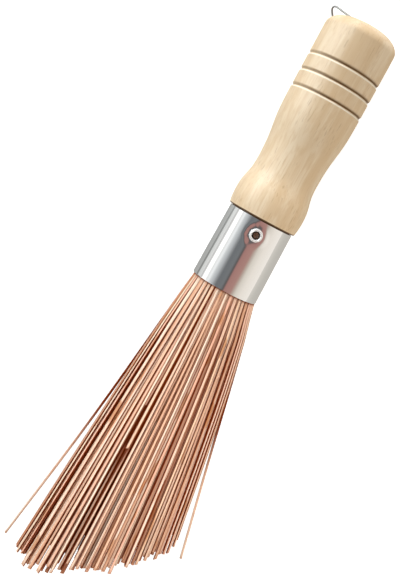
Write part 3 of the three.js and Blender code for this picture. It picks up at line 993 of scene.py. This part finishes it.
outer_stick = straight_stick("outer_stick", cuts=11, edge_steps=3)
inner_stick = straight_stick("inner_stick", cuts=5, edge_steps=1)
print("faces of the sticks:", len(outer_stick.data.polygons), len(inner_stick.data.polygons))

# %% Bend and mark a copy of a stick
SEED = 7
# How the stain fades towards the tips and weakens near the root, and how much of the flanks' painted shade is left
# at the ends
STAIN_AND_SHADE_FADE = 0.18
STAIN_AND_SHADE_AT_ROOT = 0.65
STAIN_AND_SHADE_RISE = 0.3
FLANK_AT_ENDS = 0.88
SLANT = 0.5
FRAY = 0.4

chance = random.Random(SEED)
bpy.ops.curve.primitive_bezier_curve_add()
guide = bpy.context.object
guide.name = "bending_guide"
guide.data.twist_mode = "Z_UP"


def either_way(reach):
    """A random amount, at most so much to either side."""
    return chance.uniform(-reach, reach)


def follow(route, tilt):
    """Sets the guide through the points of a route."""
    guide.data.splines.clear()
    line = guide.data.splines.new("BEZIER")
    line.bezier_points.add(len(route) - 1)
    for point, place in zip(line.bezier_points, route):
        point.co = place
        point.handle_left_type = "AUTO"
        point.handle_right_type = "AUTO"
        point.tilt = tilt
    guide.data.update_tag()
    bpy.context.view_layer.update()


def splint(name, stick, route, turned, width, thickness, deep, tones, edges=1, fade=STAIN_AND_SHADE_FADE):
    """One splint: a copy of the straight stick, sized, marked and bent along its route."""
    copy = stick.copy()
    copy.data = stick.data.copy()
    copy.name = name
    bpy.context.collection.objects.link(copy)
    length = sum((end - start).length for start, end in zip(route, route[1:]))
    copy.data.transform(Matrix.Diagonal((length, width, thickness, 1)))
    slant = either_way(SLANT)
    fray = either_way(FRAY)
    offset = Vector((chance.random(), chance.random(), chance.random()))
    own_tone = chance.uniform(*tones)
    layers = vertex_layers(copy, straight="FLOAT_VECTOR", tone="FLOAT", run="FLOAT", stain="FLOAT")
    for vertex, straight, tone, along_run, stain in zip(copy.data.vertices, *layers):
        run = vertex.co.x / length
        # Painted shade on the narrow flanks, where the gaps between splints are shadowed; the deep value adds
        # painted shade, with some real staining
        flank = edges * 2 * abs(vertex.co.y) / width
        flank *= FLANK_AT_ENDS + (1 - FLANK_AT_ENDS) * math.sin(math.pi * run)
        shaded = STAIN_AND_SHADE_AT_ROOT + (1 - STAIN_AND_SHADE_AT_ROOT) * min(run / STAIN_AND_SHADE_RISE, 1)
        along_run.value = run
        tone.value = own_tone
        stain.value = max(flank, deep * (1 - fade * run)) * shaded
        if vertex.co.x > length - WELD:
            vertex.co.x += slant * vertex.co.y + fray * vertex.co.z
        straight.vector = vertex.co + offset
    follow(route, -turned)
    apply_modifier(copy, "CURVE", object=guide, deform_axis="POS_X")
    return copy


print("sticks bend along:", guide.name)

# %% [markdown]
# ### The finish of split bamboo
#
# Each splint has its own tint, picked by its tone, and long fibres that run its whole length. Here and
# there a node of the cane has left a brown mark. Every vertex carries a stain value, which lays
# first red and then dark brown over the tint. It is high on the narrow flanks, as painted shade for the
# shadowed gaps between splints, and high all over on a splint deep in the bundle, as painted shade with
# some real staining from wet scrubbing. A painted shadow darkens a narrow band at the sleeve's mouth.

# %% Bamboo finish
# Tones from 0 to 1, each with its red, green and blue
BAMBOO_TONES = [
    (0.00, 0.46, 0.17, 0.08),
    (0.14, 0.76, 0.43, 0.27),
    (0.32, 0.92, 0.53, 0.39),
    (0.50, 0.95, 0.66, 0.46),
    (0.68, 0.96, 0.66, 0.50),
    (0.84, 1.00, 0.79, 0.58),
    (1.00, 1.00, 0.87, 0.72),
]
FIBRE_BROWN = (0.47, 0.19, 0.09, 1)
FIBRE_PALE = (1.0, 0.90, 0.77, 1)
# Colours laid by stain: mostly painted shade, partly real staining
STAIN_AND_SHADE_RED = (0.56, 0.195, 0.08, 1)
STAIN_AND_SHADE_BROWN = (0.21, 0.032, 0.005, 1)
NODE_BROWN = (0.52, 0.2, 0.06, 1)
# Width of the painted shadow band at the sleeve's mouth
MOUTH_SHADOW = 1.2 * MM

bamboo, shader = new_finish("split_bamboo", {"Roughness": 0.65, "Specular IOR Level": 0})
place = attribute(shader, "straight", "Vector")
long_fibres = grain(place, 8, 1300, detail=2)
dark_fibres = grain(place, 6, 1700, detail=1)
fine_fibres = grain(place, 22, 2400, detail=2)
patches = grain(place, 45, 300, detail=2)
node_marks = grain(place, 60, 260, detail=0)
stain = attribute(shader, "stain")
from_shoulder = add_node(shader, "SeparateXYZ", {0: lying_coordinates(shader)}, "X")
mouth = -ferrule_length
colour = colour_ramp(attribute(shader, "tone"), BAMBOO_TONES)
layers = [
    (FIBRE_PALE, long_fibres, 0.5, 0.66, 0.8),
    (FIBRE_BROWN, dark_fibres, 0.55, 0.68, 0.42),
    (FIBRE_BROWN, fine_fibres, 0.52, 0.75, 0.55),
    (FIBRE_BROWN, patches, 0.56, 0.8, 0.4),
    (NODE_BROWN, node_marks, 0.7, 0.78, 0.7),
    # Red and then dark brown from stain, mostly painted shade
    (STAIN_AND_SHADE_RED, stain, 0.3, 0.7, 0.25),
    (STAIN_AND_SHADE_BROWN, stain, 0.55, 0.9),
    # A painted shadow at the sleeve's mouth
    (STAIN_AND_SHADE_BROWN, from_shoulder, mouth - MOUTH_SHADOW, mouth, 0.9),
    (FIBRE_BROWN, attribute(shader, "run"), 0.985, 1.0, 0.55),
]
for layer in layers:
    colour = shade(colour, *layer)
feed(shader, {"Base Color": colour, "Normal": relief(fine_fibres, 0.08 * MM)})
print("bamboo tones:", len(BAMBOO_TONES))

# %% [markdown]
# ### The splints that can be seen one by one
#
# The outer splints are pieces of their own. Each follows the solid that it stands for: the solid's corners
# are sorted along the axis and grouped into cross sections, and the middles of the sections are the points
# of the route.

# %% Bend the outer splints
SECTION_GAP = 0.9 * MM
OUTER_RING_RADIUS = 13.75 * MM
RING_PITCH = 1.65 * MM
STRAY_SIZE = (1.2 * MM, 1.1 * MM)
SLIM_SECTION = 1.7 * MM
SPLINT_WIDTHS = (1.05 * MM, 1.95 * MM)
SPLINT_THICKNESSES = (0.9 * MM, 1.02 * MM)
TWIST = math.radians(6)
SETTLE = 0.65
BOW = 0.3 * MM
TIP_WEAR = 1.7 * MM
TIP_WEAR_SWING = 1.4 * MM
TIP_WEAR_TURN = math.radians(35)
# Painted shade on the second ring, seen deeper between the outer splints
SECOND_RING_SHADE = 0.95
# Painted shade on the splints at the bundle's right edge, seen from the side
EDGE_SHADE = 0.8
EDGE_TURNS = (math.radians(78), math.radians(100))
TONE_SPREAD = 0.42
# How much lighter the tones are on the right
RIGHT_TONE_SHIFT = 0.05
STRAY_TONES = (0.52, 0.64)
# Strays are dark along their upper length, partly real staining and partly painted shade
STRAY_STAIN_AND_SHADE = 1.6
STRAY_FADE = 0.85
STRAY_WEAR = 1.2 * MM


def settled(turned):
    """The turn of a splint's broad side, which settles upwards or downwards, with a twist of its own."""
    return turned - SETTLE * math.sin(2 * turned) / 2 + either_way(TWIST)


def worn(turned):
    """How much shorter scrubbing has made a splint, most at the front left and the back right."""
    return TIP_WEAR + TIP_WEAR_SWING * math.cos(2 * (turned + TIP_WEAR_TURN))


def tone_range(turned):
    """The tones of the splints at one place, a little lighter on the right."""
    shift = RIGHT_TONE_SHIFT * math.sin(turned)
    return (0.5 - TONE_SPREAD + shift, 0.5 + TONE_SPREAD + shift)


def cross_sections(node):
    """The corners of a splint solid's cross sections, from its root to its tip, at the bench."""
    corners = sorted(at_the_bench(node), key=lambda place: -place.z)
    sections = [[corners[0]]]
    for place in corners[1:]:
        if sections[-1][-1].z - place.z > SECTION_GAP:
            sections.append([])
        sections[-1].append(place)
    return sections


def middle(places):
    """The middle of the box around some places."""
    lows = Vector(min(place[i] for place in places) for i in range(3))
    highs = Vector(max(place[i] for place in places) for i in range(3))
    return (lows + highs) / 2


def bowed(route, turned):
    """A route with a slight bow of its own, along its ring, between its fixed ends."""
    sideways = Vector((math.cos(turned), math.sin(turned), 0)) * either_way(BOW)
    count = len(route) - 1
    return [place + sideways * math.sin(math.pi * i / count) for i, place in enumerate(route)]


outer_names = sorted(name for name in frame["nodes"] if name.startswith("splint_"))
strays = []
for name in outer_names:
    sections = cross_sections(name)
    middles = [middle(section) for section in sections]
    diagonal = 2 * max((place - middles[0]).length for place in sections[0])
    turned = math.atan2(middles[0].x, -middles[0].y)
    twisted = settled(turned)
    size = (chance.uniform(*SPLINT_WIDTHS), chance.uniform(*SPLINT_THICKNESSES))
    # Splints at the right edge get painted shade
    deep = EDGE_SHADE if EDGE_TURNS[0] < turned < EDGE_TURNS[1] else 0
    if middles[0].xy.length < OUTER_RING_RADIUS - RING_PITCH / 2:
        # The second ring, seen between the outer splints, gets painted shade
        deep = SECOND_RING_SHADE
    marks = (deep, tone_range(turned))
    wear = worn(turned)
    if diagonal < SLIM_SECTION:
        strays.append(name)
        size = STRAY_SIZE
        # Strays: stain and painted shade on the upper length, pale at the free tips
        marks = (STRAY_STAIN_AND_SHADE, STRAY_TONES, 0, STRAY_FADE)
        wear = STRAY_WEAR
    last_step = middles[-1] - middles[-2]
    middles[-1] -= last_step.normalized() * min(wear, last_step.length / 2)
    route = [bench @ place for place in bowed(middles, turned)]
    piece = splint("bamboo_" + name, outer_stick, route, twisted, *size, *marks)
    lay_down(piece, bamboo, name, Matrix.Identity(4), smooth=50)
print("outer splints:", len(outer_names), "strays:", strays)

# %% [markdown]
# ### The inner splints and the glue
#
# The rest of the bundle stands inside, ring within ring, in a bed of brown glue. These splints are only
# seen between the outer ones, so they are simpler sticks, joined to one piece with the glue. They follow
# the same spread as the solids: faster near the mouth, with the bundle leaning a little to the right. Every
# other inner ring is turned by half a step, so that no lane is left to look through.

# %% The spread of the bundle
MOUTH_RADIUS = 14.4 * MM
RING_COUNTS = (42, 36, 31, 26, 20, 15, 10, 4)
STAGGERED_RINGS = (3, 5, 7)
BUNDLE_HALF_WIDTH = 35.5 * MM
BUNDLE_HALF_DEPTH = 29.5 * MM
BUNDLE_LEAN = 7.5 * MM
SPREAD_CURVE = 0.8
BUNDLE_LENGTH = 148 * MM
TRIM_START = -14 * MM
TRIM_SLANT = 0.68
LENGTH_SCATTER = 2 * MM
TIP_SCATTER = 1.3 * MM
ROOT_DEPTH = 15.8 * MM
ROUTE_POINTS = 5
ROUTE_CURVE = 1.6


def spread_share(depth):
    """How far the bundle has spread at a depth below the sleeve's mouth, from 0 to 1."""
    return max(depth / BUNDLE_LENGTH, 0) ** SPREAD_CURVE


def spread_place(radius, turned, depth):
    """Where a splint's middle lies at a depth below the sleeve's mouth, at the bench."""
    share = spread_share(depth)
    wide = 1 + (BUNDLE_HALF_WIDTH / MOUTH_RADIUS - 1) * share
    deep = 1 + (BUNDLE_HALF_DEPTH / MOUTH_RADIUS - 1) * share
    x = radius * math.sin(turned) * wide + BUNDLE_LEAN * share
    y = -radius * math.cos(turned) * deep
    return Vector((x, y, -ferrule_length - depth))


def trimmed_length(radius, turned):
    """The length of a splint that is trimmed with the bundle, at a slant that is longest on the left."""
    tip = spread_place(radius, turned, BUNDLE_LENGTH).x
    length = BUNDLE_LENGTH - TRIM_SLANT * max(tip - TRIM_START, 0)
    return length + either_way(LENGTH_SCATTER)


def inner_route(root_radius, tip_radius, turned, rise, length):
    """The points of an inner splint, which may rise from its own ring to a wider one on its way."""
    drift = Vector((either_way(TIP_SCATTER), either_way(TIP_SCATTER), 0))
    route = [spread_place(root_radius, turned, ROOT_DEPTH - ferrule_length)]
    for i in range(ROUTE_POINTS):
        share = (i / (ROUTE_POINTS - 1)) ** ROUTE_CURVE
        risen = min(spread_share(length * share) / rise, 1)
        radius = root_radius + (tip_radius - root_radius) * risen * risen * (3 - 2 * risen)
        route.append(spread_place(radius, turned, length * share) + drift * share)
    return route


ring_places = []
for ring_number, count in enumerate(RING_COUNTS):
    stagger = math.pi / count if ring_number in STAGGERED_RINGS else 0
    for i in range(count):
        side = 1 if i % 2 == 0 else -1
        turned = side * math.ceil(i / 2) * 2 * math.pi / count + stagger
        ring_places.append((OUTER_RING_RADIUS - ring_number * RING_PITCH, turned))
print("places in the sleeve's mouth:", len(ring_places))

# %% [markdown]
# ### Infill between the rings
#
# Three more rows of splints fill the gaps of the outer ring, as in a packed bundle. Each row has a shift
# around the ring, a radius at the tips, the share of the spread at which it has risen there, and a range of
# stain values, partly real staining and partly painted shade. The infill on the right, shaded
# side gets more painted shade. Beside the splint that has broken off, the infill is broken too or gets
# painted shade.

# %% Bend the inner splints
INFILL_ROOT = 12.4 * MM
INFILL = [
    (0.0, 13.3 * MM, 0.5, (0.05, 0.75)),
    (0.3, 13.0 * MM, 0.95, (0.05, 0.8)),
    (0.7, 12.5 * MM, 0.8, (0.4, 0.9)),
]
INFILL_WANDER = 0.22
# Painted shade on the inner splints deep in the bundle
INSIDE_SHADE = 1.05
INSIDE_WEAR = 1.4 * MM
# More painted shade on the infill of the right, shaded side
RIGHT_SIDE_SHADE = 0.2
BROKEN_TURN = math.radians(-20)
BROKEN_REACH = math.radians(3)
BROKEN_LENGTH = 58 * MM
BROKEN_SHADE = math.radians(6)
SHADE_STAIN = 2.0
SHADE_FADE = 0.95

routes = []
for radius, turned in ring_places[len(outer_names):]:
    length = trimmed_length(radius, turned) - INSIDE_WEAR
    routes.append((inner_route(radius, radius, turned, 1, length), turned, INSIDE_SHADE, STAIN_AND_SHADE_FADE))
gap_angle = 2 * math.pi / RING_COUNTS[0]
for shift, tip_radius, rise, stains in INFILL:
    for i in range(RING_COUNTS[0]):
        turned = (i + 0.5 + shift + either_way(INFILL_WANDER)) * gap_angle
        from_broken = abs((turned - BROKEN_TURN + math.pi) % (2 * math.pi) - math.pi)
        length = trimmed_length(tip_radius, turned) - worn(turned) - INSIDE_WEAR
        if from_broken < BROKEN_REACH:
            length = BROKEN_LENGTH
        # Random staining, with painted shade added on the right, shaded side
        marks = (chance.uniform(*stains) + RIGHT_SIDE_SHADE * max(math.sin(turned), 0), STAIN_AND_SHADE_FADE)
        if shift and BROKEN_REACH < from_broken < BROKEN_SHADE:
            marks = (SHADE_STAIN, SHADE_FADE)
        routes.append((inner_route(INFILL_ROOT, tip_radius, turned, rise, length), turned, *marks))

inner_pieces = []
for number, (route, turned, deep, fade) in enumerate(routes):
    size = (chance.uniform(*SPLINT_WIDTHS), chance.uniform(*SPLINT_THICKNESSES))
    twisted = settled(turned)
    placed = [bench @ place for place in route]
    name = f"inner_splint_{number:03d}"
    piece = splint(name, inner_stick, placed, twisted, *size, deep, tone_range(turned), fade=fade)
    inner_pieces.append(piece)
print("inner splints:", len(inner_pieces))

# %% Pour the glue and join it with the inner splints
GLUE_TOP = 14.3 * MM
GLUE_DEPTH = 3 * MM
GLUE_RADIUS = 14 * MM
GLUE_SAG = 0.8 * MM

glue_foot = -GLUE_TOP - GLUE_DEPTH
sagged = glue_foot + GLUE_SAG
glue_profile = [(0, sagged)]
glue_profile += round_corner((0, sagged), (GLUE_RADIUS / 2, sagged), (GLUE_RADIUS, glue_foot), count=6)
glue_profile += [(GLUE_RADIUS, -GLUE_TOP), (0, -GLUE_TOP)]
glue = turn("inner_splints_in_glue", glue_profile, SMALL_ROUND_STEPS)
glue.matrix_world = bench
make_active(glue)
bpy.ops.object.transform_apply()
for piece in inner_pieces:
    piece.select_set(True)
bpy.ops.object.join()
lay_down(glue, bamboo, "glue_core", Matrix.Identity(4), smooth=50)
for helper in (outer_stick, inner_stick, guide):
    bpy.data.objects.remove(helper)
print("faces of the inner bundle:", len(glue.data.polygons))
